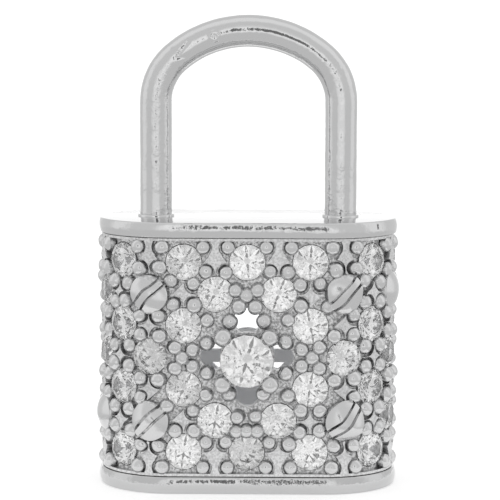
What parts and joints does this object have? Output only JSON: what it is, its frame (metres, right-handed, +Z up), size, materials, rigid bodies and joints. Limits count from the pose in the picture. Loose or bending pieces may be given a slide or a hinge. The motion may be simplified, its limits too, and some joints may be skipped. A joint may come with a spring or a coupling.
{
  "type": "padlock pendant",
  "caption": "Hollow padlock-shaped jewellery pendant, pave set with round stones over its front and round ends, with a fixed shackle that a chain or ring passes through.",
  "frame": {"origin": "centre of the bottom plate's underside", "axes": "+Z up through the shackle, -Y out of the pave front, X along the case's width"},
  "size_m": [0.0142, 0.0075, 0.0219],
  "materials": {
    "plates": "polished silver",
    "wall": "polished silver casting with darker ground between its beads",
    "stones": "faceted clear stone"
  },
  "bodies": {
    "root": {"bottom_plate": "plates", "centre_stone": "stones", "pave_wall": "wall", "stone_row1_left2": "stones", "stone_row1_left4": "stones", "stone_row1_left6": "stones", "stone_row1_middle": "stones", "stone_row1_right2": "stones", "stone_row1_right4": "stones", "stone_row1_right6": "stones", "stone_row2_left1": "stones", "stone_row2_left5": "stones", "stone_row2_right1": "stones", "stone_row3_left2": "stones", "stone_row3_left4": "stones", "stone_row3_left6": "stones", "stone_row3_right2": "stones", "stone_row3_right4": "stones", "stone_row3_right6": "stones", "stone_row4_left3": "stones", "stone_row4_left5": "stones", "stone_row4_right3": "stones", "stone_row4_right5": "stones", "stone_row5_left2": "stones", "stone_row5_left4": "stones", "stone_row5_left6": "stones", "stone_row5_right2": "stones", "stone_row5_right4": "stones", "stone_row5_right6": "stones", "stone_row6_left1": "stones", "stone_row6_right1": "stones", "stone_row6_right5": "stones", "stone_row7_left2": "stones", "stone_row7_left4": "stones", "stone_row7_left6": "stones", "stone_row7_middle": "stones", "stone_row7_right2": "stones", "stone_row7_right4": "stones", "stone_row7_right6": "stones", "top_plate_with_shackle": "plates"}
  },
  "joints": []
}
